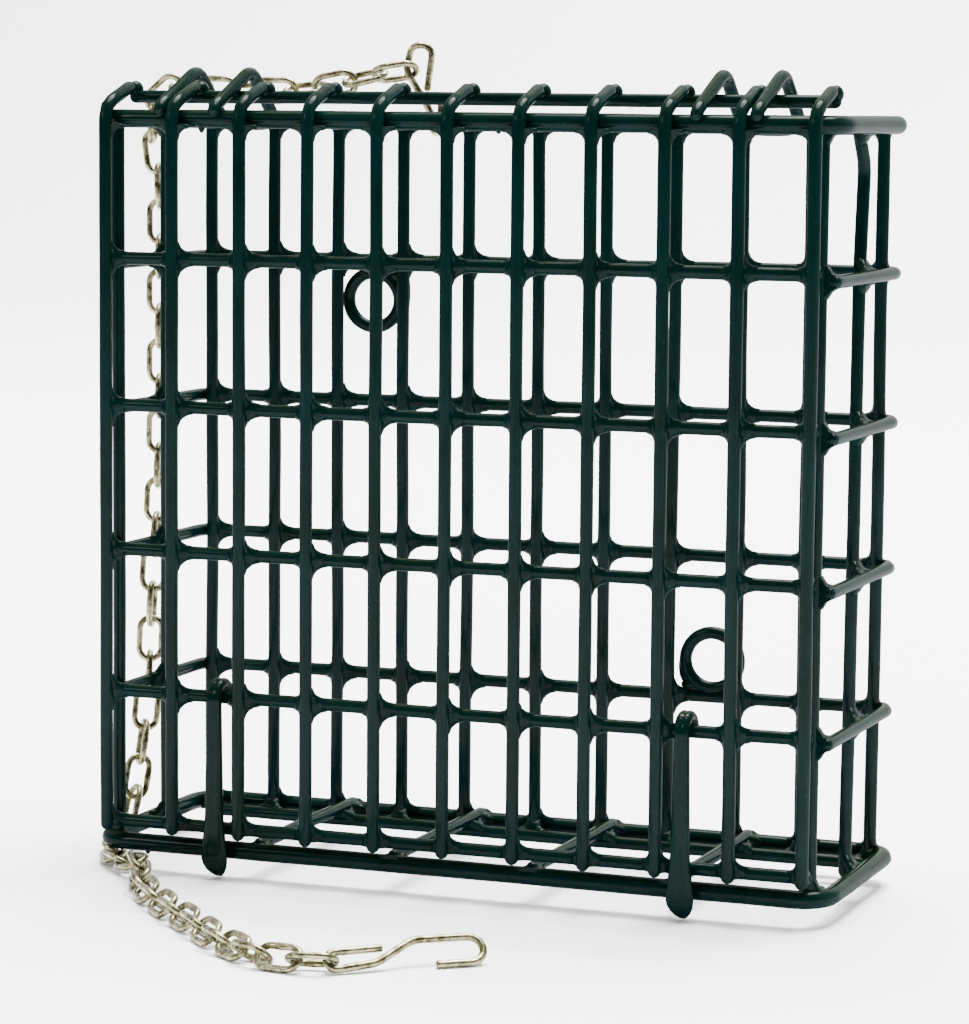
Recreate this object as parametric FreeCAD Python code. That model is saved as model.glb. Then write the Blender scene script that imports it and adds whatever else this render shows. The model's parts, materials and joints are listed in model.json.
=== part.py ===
import FreeCAD, Part
import math
import os

# Hanging suet cage: a five-sided basket of vinyl-dipped wire, a grid door hinged over its
# top front edge, two spring latches under its bottom front edge, and a hanging chain.
# Millimetres. X runs along the front, Y from the door to the back, Z up from the ground.

V = FreeCAD.Vector

# --- wire sizes, over the vinyl -------------------------------------------------------
wire_d = 2.3
ring_d = 3.2
latch_d = 2.1
hook_d = 1.3
touch_gap = 0.02            # between welded wires of one body, so that they don't overlap
swing_gap = 0.35            # between wires of different bodies
shortest_edge = 1e-4        # a straight run shorter than this is left out

# --- the grid -------------------------------------------------------------------------
mesh_pitch = 12.7           # half inch between upright wires
column_count = 11
rail_heights = (103.0, 77.4, 52.1, 27.0)   # door rails above the bottom ring
sill_rail_height = 3.9                     # the door's lowest rail, above the bottom ring
hoop_drop = 1.2                            # the basket's hoops sit this much under the rails
inside_depth = 43.1         # from the door's uprights to the rear uprights, on centres
ring_height = 127.1         # from the bottom ring to the top ring, on centres
latch_drop = 4.9            # from the bottom ring's centre down to the latches' undersides
ring_corner = 5.0           # bend radius of the ring rods, on the centreline
hoop_corner = 2.5

# --- the hinge ------------------------------------------------------------------------
lip_angle = 19.0            # the door wires' rise behind the top ring, degrees
hinge_back = 8.63           # hinge rod behind the top ring's front rod
hinge_up = 3.8              # hinge rod above the top ring
lip_length = 10.6
staple_out = 53.45          # outer leg of each hinge staple, from the middle of the cage
staple_in = 43.2
staple_peak = (12.9, 8.6)   # corner of the bend, behind and above the ring's front rod
staple_foot = (-0.4, 2.74)
staple_tail = (24.0, -0.9)

# --- the latches ----------------------------------------------------------------------
latch_x = 42.6
latch_leg_gap = 2.2         # between the two legs of one latch, on centres
latch_curl = 2.53           # bend radius of the curl over the door's lowest long rail
latch_curl_under = 20.0     # degrees that the curl goes on past level behind the rail

# --- the screw eyes -------------------------------------------------------------------
eye_radius = 4.95
eye_hole = 3.9
upper_eye_x = -32.0
lower_eye_x = 33.4
lower_eye_above = 5.6       # above its hoop

# --- the floor bars -------------------------------------------------------------------
bar_pitch = 25.4
bar_shift = 2.35            # bars lie just beside the uprights
bar_up = 1.28               # above the bottom ring's centre

# --- the chain ------------------------------------------------------------------------
link_wire = 1.15
link_length = 8.8
link_width = 5.2
pitch_hanging = 6.4         # links that hang in a line, pulled nearly tight
pitch_slack = 5.6           # links over the top, round its edge and under the corner
pitch_ground = 6.1          # links on the open ground, to be evened out
first_link = 2.2            # from a hook's wire to the middle of the link in its eye

# --- worked-out places ----------------------------------------------------------------
ring_y = wire_d / 2 + swing_gap + ring_d / 2
low_z = latch_drop
top_z = low_z + ring_height
half_x = mesh_pitch * (column_count - 1) / 2
columns = [mesh_pitch * k - half_x for k in range(column_count)]
ring_side = (wire_d + ring_d) / 2 + touch_gap
lap = wire_d + touch_gap
rail_y = lap
rear_y = inside_depth
ring_x = half_x + ring_side
ring_back_y = rear_y + ring_side
post_y = rail_y + lap + swing_gap
hinge_y = ring_y + hinge_back
hinge_z = top_z + hinge_up
hoop_off = lap + 0.04
# the depth of the cage without its chain, which is centred on Y = 0
front_most = rail_y - latch_curl - latch_d / 2
back_most = ring_back_y + ring_d / 2
shift_y = -(front_most + back_most) / 2


# --- helpers --------------------------------------------------------------------------
def unit(v):
    w = V(v)
    w.normalize()
    return w


def bent_wire(points, radii):
    """Straight runs joined by tangent arcs: one Part.Wire past the points' corners."""
    pts = [V(*p) for p in points]
    edges = []
    start = pts[0]
    for corner, radius, after in zip(pts[1:-1], radii, pts[2:]):
        back = unit(start - corner)
        ahead = unit(after - corner)
        half = back.getAngle(ahead) / 2
        reach = radius / math.tan(half)
        bisector = unit(back + ahead)
        middle = corner + bisector * (radius / math.sin(half) - radius)
        arc_start = corner + back * reach
        arc_end = corner + ahead * reach
        if (arc_start - start).Length > shortest_edge:
            edges.append(Part.LineSegment(start, arc_start).toShape())
        edges.append(Part.Arc(arc_start, middle, arc_end).toShape())
        start = arc_end
    if (pts[-1] - start).Length > shortest_edge:
        edges.append(Part.LineSegment(start, pts[-1]).toShape())
    return Part.Wire(edges)


def sweep(path, diameter):
    """A round rod along a wire; its volume is compared with section times length."""
    edge = path.Edges[0]
    first = edge.FirstParameter
    start = edge.valueAt(first)
    profile = Part.Wire([Part.makeCircle(diameter / 2, start, edge.tangentAt(first))])
    rod = path.makePipeShell([profile], True, True)
    expected = math.pi * diameter ** 2 / 4 * path.Length
    if not rod.isValid() or abs(rod.Volume / expected - 1) > 0.02:
        print("check this rod:", rod.isValid(), rod.Volume, expected)
    return rod


def bent_rod(points, radii, diameter):
    return sweep(bent_wire(points, radii), diameter)


def straight_rod(start, end, diameter):
    run = V(*end) - V(*start)
    return Part.makeCylinder(diameter / 2, run.Length, V(*start), run)


def coped(rod, *others):
    """Cut the rod where fatter copies of the rods that it meets pass through it."""
    for other in others:
        rod = rod.cut(other)
    return max(rod.Solids, key=lambda s: s.Volume)


nodes = {}


# --- the two rings --------------------------------------------------------------------
def ring(z, diameter):
    """A closed rounded rectangle of round rod, as two bent halves swept and joined."""
    corners = [(0, ring_y, z), (ring_x, ring_y, z), (ring_x, ring_back_y, z), (0, ring_back_y, z)]
    half = bent_rod(corners, [ring_corner] * 2, diameter)
    other = half.mirror(V(0, 0, 0), V(1, 0, 0))
    return half.fuse(other).removeSplitter().Solids[0]


nodes["top_ring"] = ring(top_z, ring_d)
nodes["bottom_ring"] = ring(low_z, ring_d)
top_cutter = ring(top_z, ring_d + 2 * touch_gap)
low_cutter = ring(low_z, ring_d + 2 * touch_gap)


# --- the basket's uprights, posts, hoops and floor ------------------------------------
upright_over = 0.8          # upright wires run on this far past the rings' centres
sill_y = rear_y - lap
sill_z = low_z + bar_up - lap
rear_foot = sill_z - 0.9

for k, x in enumerate(columns):
    rod = straight_rod((x, rear_y, rear_foot), (x, rear_y, top_z + upright_over), wire_d)
    nodes["rear_upright_%02d" % k] = coped(rod, top_cutter, low_cutter)

side_y = (post_y + rear_y) / 2
for side, name in ((-1, "left"), (1, "right")):
    x = side * half_x
    side_rod = straight_rod((x, side_y, low_z - upright_over), (x, side_y, top_z + upright_over), wire_d)
    nodes["side_upright_" + name] = side_rod
    post = straight_rod((x, post_y, low_z), (x, post_y, top_z), wire_d)
    nodes["front_post_" + name] = coped(post, top_cutter, low_cutter)

hoop_heights = [low_z + h - hoop_drop for h in rail_heights]
hoop_front = post_y - 1.0
for n, z in enumerate(hoop_heights, start=1):
    out_x = half_x + hoop_off
    out_y = rear_y + hoop_off
    corners = [(-out_x, hoop_front, z), (-out_x, out_y, z), (out_x, out_y, z), (out_x, hoop_front, z)]
    nodes["hoop_%d" % n] = bent_rod(corners, [hoop_corner] * 2, wire_d)

nodes["rear_sill"] = straight_rod((-half_x, sill_y, sill_z), (half_x, sill_y, sill_z), wire_d)

for n in range(4):
    x = bar_pitch * (n - 1.5) + bar_shift
    bar_z = low_z + bar_up
    bar = straight_rod((x, ring_y - 0.3, bar_z), (x, ring_back_y + 0.3, bar_z), wire_d)
    nodes["floor_bar_%d" % (n + 1)] = coped(bar, low_cutter)


# --- the screw eyes on the back -------------------------------------------------------
def screw_eye(x, z, hoop_z):
    """A wire ring welded behind the rear uprights, with a short round land inside it."""
    centre = V(x, rear_y + hoop_off, z)
    eye = Part.makeTorus(eye_radius, wire_d / 2, centre, V(0, 1, 0))
    bore = Part.makeCylinder(eye_hole, 4, centre - V(0, 2, 0), V(0, 1, 0))
    hoop_y = rear_y + hoop_off
    hoop = straight_rod((-half_x, hoop_y, hoop_z), (half_x, hoop_y, hoop_z), wire_d + 2 * touch_gap)
    return eye.cut(bore).cut(hoop).Solids


eye_reach = eye_radius + wire_d
upper_eye_z = hoop_heights[0] - eye_reach - touch_gap
lower_eye_z = hoop_heights[3] + lower_eye_above
for name, x, z, hoop_z in (
        ("upper", upper_eye_x, upper_eye_z, hoop_heights[0]),
        ("lower", lower_eye_x, lower_eye_z, hoop_heights[3])):
    nodes["screw_eye_" + name] = max(screw_eye(x, z, hoop_z), key=lambda s: s.Volume)


# --- the hinge staples ----------------------------------------------------------------
def staple(side):
    """A hairpin over the hinge rod: two feet on the front rod, its closed end behind."""
    def at(x, place):
        return (side * x, ring_y + place[0], top_z + place[1])
    outline = [
        at(staple_out, staple_foot), at(staple_out, staple_peak), at(staple_out, staple_tail),
        at(staple_in, staple_tail), at(staple_in, staple_peak), at(staple_in, staple_foot)]
    return bent_rod(outline, [4.0, 3.2, 3.2, 4.0], wire_d)


nodes["hinge_staple_left"] = staple(-1)
nodes["hinge_staple_right"] = staple(1)

# --- the door -------------------------------------------------------------------------
bend = ring_d / 2 + swing_gap + wire_d / 2
door_foot = low_z + sill_rail_height - 1.6
rise = math.radians(lip_angle)


def door_upright(x):
    """Up in front of the ring's front rod, over it, and back up to the hinge rod."""
    turn = math.radians(90 - lip_angle)
    corner_z = top_z + bend * math.tan(turn / 2)
    end = (x, lip_length * math.cos(rise), corner_z + lip_length * math.sin(rise))
    return bent_rod([(x, 0, door_foot), (x, 0, corner_z), end], [bend], wire_d)


for k, x in enumerate(columns):
    nodes["door_upright_%02d" % k] = door_upright(x)

rail_end = half_x + 1.0
for n, height in enumerate(rail_heights, start=1):
    z = low_z + height
    nodes["door_rail_%d" % n] = straight_rod((-rail_end, rail_y, z), (rail_end, rail_y, z), wire_d)
z = low_z + sill_rail_height
nodes["door_bottom_rail"] = straight_rod((-rail_end, rail_y, z), (rail_end, rail_y, z), wire_d)
nodes["hinge_rod"] = straight_rod((-rail_end, hinge_y, hinge_z), (rail_end, hinge_y, hinge_z), wire_d)


# --- the latches ----------------------------------------------------------------------
def latch(x):
    """A hairpin spring: curls over a door rail, runs down, and turns under the ring."""
    rail_z = low_z + rail_heights[3]
    leg_y = rail_y - latch_curl
    under_radius = ring_y - leg_y
    under_z = latch_d / 2 + under_radius
    centre = V(0, rail_y, rail_z)

    def on_curl(degrees):
        a = math.radians(degrees)
        return centre + V(0, latch_curl * math.cos(a), latch_curl * math.sin(a))

    def leg(side):
        shift = V(x + side * latch_leg_gap / 2, 0, 0)
        top = V(0, leg_y, rail_z) + shift
        bottom = V(0, leg_y, under_z) + shift
        middle = V(0, ring_y - under_radius * math.cos(math.pi / 4),
                   under_z - under_radius * math.sin(math.pi / 4)) + shift
        tip = V(0, ring_y, under_z - under_radius) + shift
        curl = Part.Arc(on_curl(-latch_curl_under) + shift, on_curl(80) + shift, top)
        return [curl.toShape(), Part.LineSegment(top, bottom).toShape(),
                Part.Arc(bottom, middle, tip).toShape()], tip

    down, tip_a = leg(-1)
    up, tip_b = leg(1)
    far = (tip_a + tip_b) * 0.5 + V(0, latch_leg_gap / 2, 0)
    return sweep(Part.Wire(down + [Part.Arc(tip_a, far, tip_b).toShape()] + up[::-1]), latch_d)


nodes["latch_left"] = latch(-latch_x)
nodes["latch_right"] = latch(latch_x)

# --- the hooks ------------------------------------------------------------------------
hook_wrap = (ring_d + hook_d) / 2 + touch_gap
wrap_near = ring_back_y - hook_wrap
wrap_far = ring_back_y + hook_wrap
wrap_low = top_z - hook_wrap
hook_x = -20.3
top_hook_points = [
    (-21.2, 43.6, top_z + 5.2), (-20.2, 43.9, top_z + 13.4), (-23.9, 42.8, top_z + 13.4),
    (-24.8, 42.5, top_z + 8.9), (hook_x, wrap_near, top_z + 1.2), (hook_x, wrap_near, wrap_low),
    (hook_x, wrap_far, wrap_low), (hook_x, wrap_far, top_z + 4.0)]
wrap_bend = hook_wrap - 0.01
nodes["top_hook"] = bent_rod(
    top_hook_points, [1.75, 1.75, 2.5, 0.9, wrap_bend, wrap_bend], hook_d)

# The free hook lies tilted on the ground: its own length runs along hook_run, and its
# width rises at hook_tilt. The numbers of the outline are length and width.
hook_end = V(3.0, -56.1, 2.2)
hook_run = unit(V(20.6, 15.9, 0))
hook_tilt = math.radians(48)
hook_across = V(-hook_run.y, hook_run.x, 0) * math.cos(hook_tilt) + V(0, 0, math.sin(hook_tilt))
end_hook_outline = [
    (9.4, 3.5), (0, 3.2), (0, 0), (8.0, 0.9), (14.5, 4.6), (25.6, 4.6), (25.6, 0), (17.4, 0)]
eye_middle = 2.0


def on_end_hook(u, v):
    return tuple(hook_end + hook_run * u + hook_across * (v - eye_middle))


end_hook_points = [on_end_hook(u, v) for u, v in end_hook_outline]
nodes["end_hook"] = bent_rod(end_hook_points, [1.55, 1.55, 4.0, 4.0, 2.28, 2.28], hook_d)

# --- the chain ------------------------------------------------------------------------
# The chain's middle line is one smooth quadratic spline through the cage's open top, over
# its left side, down to the ground, under the front left corner and forward to the hook.
chain_route = [
    (-24.6, 42.5, 140.9), (-29.5, 41.1, 140.2), (-35.0, 39.8, 138.7), (-41.5, 38.9, 137.4),
    (-48.5, 38.3, 137.1), (-55.5, 38.0, 137.2), (-62.5, 37.8, 137.4), (-69.8, 37.6, 138.0),
    (-73.2, 37.5, 132.4), (-71.5, 37.2, 124.5), (-70.9, 36.9, 116.0), (-70.9, 36.6, 102.0),
    (-70.8, 36.4, 88.0), (-70.8, 36.3, 74.0), (-70.9, 35.4, 60.0), (-70.8, 33.1, 47.0),
    (-71.0, 32.5, 35.0), (-71.0, 31.3, 25.0), (-71.1, 28.9, 16.0), (-71.9, 27.8, 8.6),
    (-71.1, 23.2, 3.0), (-69.9, 16.9, 1.4), (-67.7, 11.8, 1.8), (-65.7, 6.0, 1.8),
    (-60.9, 0.2, 1.6), (-55.0, -4.0, 3.1), (-50.5, -13.5, 2.1), (-45.5, -21.0, 2.1),
    (-40.2, -27.2, 2.1), (-34.2, -33.5, 2.1), (-28.0, -39.5, 2.1), (-21.5, -46.5, 2.1),
    (-15.5, -52.0, 2.1), (-9.0, -56.2, 2.1), (-2.8, -57.7, 2.1), (3.0, -56.1, 2.2)]
route = Part.BSplineCurve()
spans = len(chain_route) - 2
route.buildFromPolesMultsKnots(
    [V(*p) for p in chain_route], [3] + [1] * (spans - 1) + [3],
    [float(i) for i in range(spans + 1)], False, 2)
route_length = route.length()


def on_route(distance):
    return route.value(route.parameterAtDistance(min(max(distance, 0), route_length)))


def make_link():
    """One link lying in the XY plane along X: half of it swept, mirrored and joined."""
    bow = (link_width - link_wire) / 2
    straight = (link_length - link_width) / 2
    half = Part.Wire([
        Part.LineSegment(V(0, bow, 0), V(straight, bow, 0)).toShape(),
        Part.Arc(V(straight, bow, 0), V(straight + bow, 0, 0), V(straight, -bow, 0)).toShape(),
        Part.LineSegment(V(straight, -bow, 0), V(0, -bow, 0)).toShape()])
    right = sweep(half, link_wire)
    left = right.mirror(V(0, 0, 0), V(1, 0, 0))
    return right.fuse(left).removeSplitter().Solids[0]


# Each link's plane is turned from its neighbour's. Where the chain hangs they take turns
# edge on and face on; on the ground they lean one way and the other; under the cage's
# corner they lie flatter, because the ring passes just above them.
lean_free = 45.0
lean_low = 26.3
turn_hanging = 45.0
untwist_links = 7
ground_reach = 4.0          # a link whose middle is lower than this lies on the ground
bend_reach = 17.0           # below this the chain starts to bend in under the cage
open_ground_y = -3.0        # in front of this nothing passes over the chain
top_hook_turn = -31.0       # the two end links turn a little more, to clear their hooks
end_hook_turn = 14.0


def link_distances():
    """How far along the route each link's middle is; the ground takes up the remainder."""
    stops = [first_link]
    spot = on_route(first_link)
    while spot.z > ground_reach or spot.y > open_ground_y:
        hanging = bend_reach < spot.z < top_z - ground_reach
        stops.append(stops[-1] + (pitch_hanging if hanging else pitch_slack))
        spot = on_route(stops[-1])
    left = route_length - first_link - stops[-1]
    steps = int(round(left / pitch_ground))
    if (len(stops) + steps) % 2 == 0:
        steps += 1          # an odd count, so that both end links stand square to their hooks
    return stops + [stops[-1] + left * (n + 1) / steps for n in range(steps)]


def link_places():
    middles = link_distances()
    spots = [on_route(s) for s in middles]
    along = [unit(on_route(s + pitch_slack / 2) - on_route(s - pitch_slack / 2)) for s in middles]
    level = [None] * len(spots)
    across = V(0, 0, 1).cross(along[-1])
    for k in range(len(spots) - 1, -1, -1):
        across = unit(across - along[k] * across.dot(along[k]))
        level[k] = across
    first_on_ground = next(k for k, p in enumerate(spots) if p.z < ground_reach)
    places = []
    for k, spot in enumerate(spots):
        under_cage = k >= first_on_ground and spot.y > open_ground_y
        lean = lean_low if under_cage else lean_free
        above = min(max(first_on_ground - k, 0), untwist_links) / untwist_links
        turn = turn_hanging * above + (lean if k % 2 else -lean)
        if k == 0:
            turn += top_hook_turn
        if k == len(spots) - 1:
            turn += end_hook_turn
        places.append((spot, along[k], level[k], turn))
    return places


link = make_link()
stretches = {"chain_top": [], "chain_side": [], "chain_floor": []}
for spot, along, across, turn in link_places():
    side = FreeCAD.Rotation(along, turn).multVec(across)
    placed = link.copy()
    frame = FreeCAD.Matrix(
        along.x, side.x, along.cross(side).x, spot.x,
        along.y, side.y, along.cross(side).y, spot.y,
        along.z, side.z, along.cross(side).z, spot.z,
        0, 0, 0, 1)
    placed.transformShape(frame)
    hangs = spot.z > ground_reach
    name = "chain_top" if spot.z > top_z else "chain_side" if hangs else "chain_floor"
    stretches[name].append(placed)
for name, links in stretches.items():
    nodes[name] = Part.makeCompound(links)

# --- write every node, with the cage centred on Y = 0 ---------------------------------
os.makedirs("parts", exist_ok=True)
for name, shape in nodes.items():
    moved = shape.copy()
    moved.translate(V(0, shift_y, 0))
    moved.exportStep("parts/%s.step" % name)

link_count = sum(len(links) for links in stretches.values())
print("nodes", len(nodes), "chain length %.1f" % route_length, "links", link_count)
print("shift_y %.3f top_z %.2f ring_y %.3f back %.3f" % (shift_y, top_z, ring_y, back_most))
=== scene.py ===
# %% [markdown]
# # A hanging suet cage
# A wire cage that holds a pressed suet cake for birds: a five-sided basket of welded wire, a grid
# door hinged over its top front edge, two spring latches, and a zinc chain to hang it by.
# Every wire is dipped in vinyl after welding, and that skin is what the eye sees: rounded wire
# ends, a rounded corner of vinyl in every cell of the grid, a drip here and there.
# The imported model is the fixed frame. Each of its wires is replaced by a richer one in its place.

# %% Load the frame
import json
import math

import bpy
import numpy as np
from mathutils import Matrix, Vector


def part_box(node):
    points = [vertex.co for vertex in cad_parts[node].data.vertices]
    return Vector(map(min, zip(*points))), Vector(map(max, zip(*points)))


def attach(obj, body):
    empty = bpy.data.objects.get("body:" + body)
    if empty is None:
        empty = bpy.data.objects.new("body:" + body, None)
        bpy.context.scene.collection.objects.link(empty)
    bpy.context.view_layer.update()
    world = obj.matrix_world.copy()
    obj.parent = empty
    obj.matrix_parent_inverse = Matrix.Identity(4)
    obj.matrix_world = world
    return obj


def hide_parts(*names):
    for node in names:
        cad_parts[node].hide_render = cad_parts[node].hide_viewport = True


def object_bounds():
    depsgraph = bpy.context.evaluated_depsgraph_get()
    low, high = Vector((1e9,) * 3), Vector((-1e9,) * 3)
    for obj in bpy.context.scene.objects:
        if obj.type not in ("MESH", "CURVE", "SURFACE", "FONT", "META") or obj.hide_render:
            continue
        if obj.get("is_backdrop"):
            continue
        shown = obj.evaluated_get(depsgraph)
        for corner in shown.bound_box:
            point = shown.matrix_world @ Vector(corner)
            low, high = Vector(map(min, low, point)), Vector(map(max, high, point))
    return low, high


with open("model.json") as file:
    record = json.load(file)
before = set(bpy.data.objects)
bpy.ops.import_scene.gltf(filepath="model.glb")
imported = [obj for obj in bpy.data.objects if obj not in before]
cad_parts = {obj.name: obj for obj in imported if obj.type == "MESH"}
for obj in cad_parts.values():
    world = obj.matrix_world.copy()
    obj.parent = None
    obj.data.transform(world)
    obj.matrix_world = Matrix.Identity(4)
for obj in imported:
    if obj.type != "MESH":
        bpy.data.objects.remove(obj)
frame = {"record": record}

cad_low, cad_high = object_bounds()

# %% [markdown]
# ## Working in millimetres
# The frame is in metres, and the wires are a few millimetres thick, so shapes are worked out in
# millimetres and scaled once, when they go into a mesh. A node's box gives its place: a straight
# wire's two ends and its thickness can be read straight from it.

# %% Units and boxes
MM = 0.001


def corners_of(node):
    """Lowest and highest corner of a CAD node at rest, in millimetres."""
    low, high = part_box(node)
    return np.array(low) / MM, np.array(high) / MM


def middle_of(node):
    return sum(corners_of(node)) / 2


def unit(v):
    """Each vector divided by its own length."""
    v = np.asarray(v, float)
    return v / np.linalg.norm(v, axis=-1, keepdims=True)


BODIES = frame["record"]["behaviour"]["bodies"]
BODY_OF = {node: body for body, nodes in BODIES.items() for node in nodes}
ring_low, ring_high = corners_of("top_ring")
print("top ring", np.round(ring_low, 2), "to", np.round(ring_high, 2))

# %% [markdown]
# ## The camera
# A cage is all straight lines, so the camera decides whether it looks right. This one stands low
# and to the right of the door, with a long lens, and is tilted by half a degree. It is placed by
# its position and three turns, because the two directions it works out (to the right and up)
# are then exact.

# %% Camera
CAMERA_AT = (225.58, -592.13, 134.59)
CAMERA_YAW, CAMERA_PITCH, CAMERA_ROLL = (math.radians(a) for a in (-20.99, -6.33, 0.5))
FOCAL_LENGTH = 128.55


def camera_axes(yaw, pitch, roll):
    """Right, up and forward: forward from yaw and pitch, then right and up rolled about it."""
    forward = np.array([math.sin(yaw) * math.cos(pitch), math.cos(yaw) * math.cos(pitch), math.sin(pitch)])
    level = np.array([math.cos(yaw), -math.sin(yaw), 0.0])
    above = np.cross(level, forward)
    right = level * math.cos(roll) + above * math.sin(roll)
    up = above * math.cos(roll) - level * math.sin(roll)
    return right, up, forward


camera = bpy.data.objects.new("camera", bpy.data.cameras.new("camera"))
bpy.context.scene.collection.objects.link(camera)
camera.data.lens = FOCAL_LENGTH
camera.data.sensor_width = 36.0
camera.data.clip_start, camera.data.clip_end = 0.01, 20.0
right, up, forward = camera_axes(CAMERA_YAW, CAMERA_PITCH, CAMERA_ROLL)
pose = np.eye(4)
pose[:3, 0], pose[:3, 1], pose[:3, 2] = right, up, -forward
pose[:3, 3] = np.array(CAMERA_AT) * MM
camera.matrix_world = Matrix(pose.tolist())
bpy.context.scene.camera = camera
print("camera looks along", np.round(forward, 3))

# %% [markdown]
# ## Floor and light
# The cage stands on a plain pale sheet that curves up behind it, so that no horizon shows. The
# sheet is a profile carried sideways: flat, then a quarter circle, then upright. The room is dim
# in front of the cage and pale behind it, so that the wires' faces stay deep. Soft light comes
# from the pale world and from three large lamps: one overhead, one from the left front, which the
# glossy vinyl shows as thin bright lines, and one that only brightens the sheet behind.

# %% Floor sheet
SHEET_HALF, SHEET_BACK, SHEET_CURVE, SHEET_TOP = 3000.0, 1500.0, 600.0, 3200.0


def floor_sheet():
    """Rows along a profile of depth and height, columns across X."""
    bend = np.linspace(0, math.pi / 2, 24)
    depth = np.concatenate([[-2500.0], SHEET_BACK + SHEET_CURVE * np.sin(bend), [SHEET_BACK + SHEET_CURVE]])
    height = np.concatenate([[0.0], SHEET_CURVE * (1 - np.cos(bend)), [SHEET_TOP]])
    across = np.array([-SHEET_HALF, SHEET_HALF])
    points = np.zeros((len(depth), 2, 3))
    points[..., 0] = across
    points[..., 1] = depth[:, None]
    points[..., 2] = height[:, None]
    return points


points = floor_sheet()
rows = np.arange(len(points) - 1)[:, None]
quads = rows * 2 + np.array([0, 1, 3, 2])
mesh = bpy.data.meshes.new("floor_sheet")
mesh.from_pydata((points.reshape(-1, 3) * MM).tolist(), [], quads.tolist())
mesh.shade_smooth()
floor = bpy.data.objects.new("floor_sheet", mesh)
bpy.context.scene.collection.objects.link(floor)
floor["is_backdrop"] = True

paper = bpy.data.materials.new("pale_paper")
paper.use_nodes = True
paper_shader = paper.node_tree.nodes["Principled BSDF"]
paper_shader.inputs["Base Color"].default_value = (0.96, 0.962, 0.962, 1)
paper_shader.inputs["Roughness"].default_value = 0.75
paper_shader.inputs["Specular IOR Level"].default_value = 0.1
mesh.materials.append(paper)
print("floor sheet with", len(quads), "strips")

# %% Lights
world = bpy.data.worlds.new("soft_room")
bpy.context.scene.world = world
world.use_nodes = True
room = world.node_tree
room.nodes["Background"].inputs["Color"].default_value = (0.97, 0.985, 1.0, 1)
# The background's strength follows the Y of the way looked: dim from the front, pale behind.
ROOM_FROM, ROOM_TO = (-0.5, 0.12), (0.45, 2.2)
way = room.nodes.new("ShaderNodeTexCoord")
parts = room.nodes.new("ShaderNodeSeparateXYZ")
fall = room.nodes.new("ShaderNodeMapRange")
for end, (place, strength) in (("Min", ROOM_FROM), ("Max", ROOM_TO)):
    fall.inputs["From " + end].default_value = place
    fall.inputs["To " + end].default_value = strength
room.links.new(way.outputs["Generated"], parts.inputs["Vector"])
room.links.new(parts.outputs["Y"], fall.inputs["Value"])
room.links.new(fall.outputs["Result"], room.nodes["Background"].inputs["Strength"])


def soft_lamp(name, place, aim, size, watts):
    """A square area lamp at a place, turned so that its face looks at a point."""
    light = bpy.data.lights.new(name, "AREA")
    light.size = size
    light.energy = watts
    lamp = bpy.data.objects.new(name, light)
    bpy.context.scene.collection.objects.link(lamp)
    back = unit(np.array(place) - np.array(aim))
    side = unit(np.cross([0.02, 1.0, 0.3], back))
    turn = np.eye(4)
    turn[:3, 0], turn[:3, 1], turn[:3, 2], turn[:3, 3] = side, np.cross(back, side), back, place
    lamp.matrix_world = Matrix(turn.tolist())
    return lamp


soft_lamp("overhead_lamp", (0.1, 0.25, 1.5), (0, 0, 0), 1.0, 100)
soft_lamp("front_lamp", (-0.9, -1.1, 0.9), (0, 0, 0.06), 0.4, 10)
soft_lamp("sheet_lamp", (0.0, 0.9, 2.2), (0, 2.1, 0.7), 1.6, 240)
print("three lamps and a pale world")

# %% [markdown]
# ## The vinyl
# Dipping vinyl is a very dark blue-green plastic. Its gloss is a thin clear coat over a matt body,
# so that it shines at the edges and stays deep in the middle. Close to, it isn't one colour: it
# is a little bluer where it is thick, and browner on the faces that look up. That brown is a
# painted sheen of the overhead light, with settled dust. Its surface has the faint dimples of
# orange peel. A vertex attribute holds the painted sheen and dust, because it belongs to the piece
# and goes with it when the door swings.

# %% Vinyl material
VINYL_DARK = (0.0001, 0.0060, 0.0043, 1)
VINYL_BLUE = (0.0001, 0.0090, 0.0080, 1)
# Painted sheen of the overhead light, with dust, mixed in on faces that look up.
VINYL_SHEEN_AND_DUST = (0.005, 0.010, 0.003, 1)


def new_material(name):
    """An empty node material, its node tree and its shader."""
    material = bpy.data.materials.new(name)
    material.use_nodes = True
    return material, material.node_tree, material.node_tree.nodes["Principled BSDF"]


def noise(tree, scale, detail, roughness=0.5):
    """Noise on Object coordinates, in metres, so its scale is in features per metre."""
    place = tree.nodes.new("ShaderNodeTexCoord")
    texture = tree.nodes.new("ShaderNodeTexNoise")
    texture.inputs["Scale"].default_value = scale
    texture.inputs["Detail"].default_value = detail
    texture.inputs["Roughness"].default_value = roughness
    tree.links.new(place.outputs["Object"], texture.inputs["Vector"])
    return texture.outputs["Fac"]


def spread(tree, value, low, high, new_low, new_high):
    """Carries a value from one range to another, and stops it at the ends."""
    node = tree.nodes.new("ShaderNodeMapRange")
    for name, number in (("From Min", low), ("From Max", high), ("To Min", new_low), ("To Max", new_high)):
        node.inputs[name].default_value = number
    tree.links.new(value, node.inputs["Value"])
    return node.outputs["Result"]


def mixed(tree, share, first, second):
    """Two colours by a share. Either may be a plain colour or another node's output."""
    node = tree.nodes.new("ShaderNodeMix")
    node.data_type = "RGBA"
    tree.links.new(share, node.inputs["Factor"])
    for socket, colour in ((node.inputs["A"], first), (node.inputs["B"], second)):
        if isinstance(colour, tuple):
            socket.default_value = colour
        else:
            tree.links.new(colour, socket)
    return node.outputs["Result"]


def attribute(tree, name):
    node = tree.nodes.new("ShaderNodeAttribute")
    node.attribute_name = name
    return node.outputs["Fac"]


def bumped(tree, shader, height, distance, strength):
    """Turns a height into a bump on the shader's normal."""
    node = tree.nodes.new("ShaderNodeBump")
    node.inputs["Distance"].default_value = distance
    node.inputs["Strength"].default_value = strength
    tree.links.new(height, node.inputs["Height"])
    tree.links.new(node.outputs["Normal"], shader.inputs["Normal"])


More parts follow.
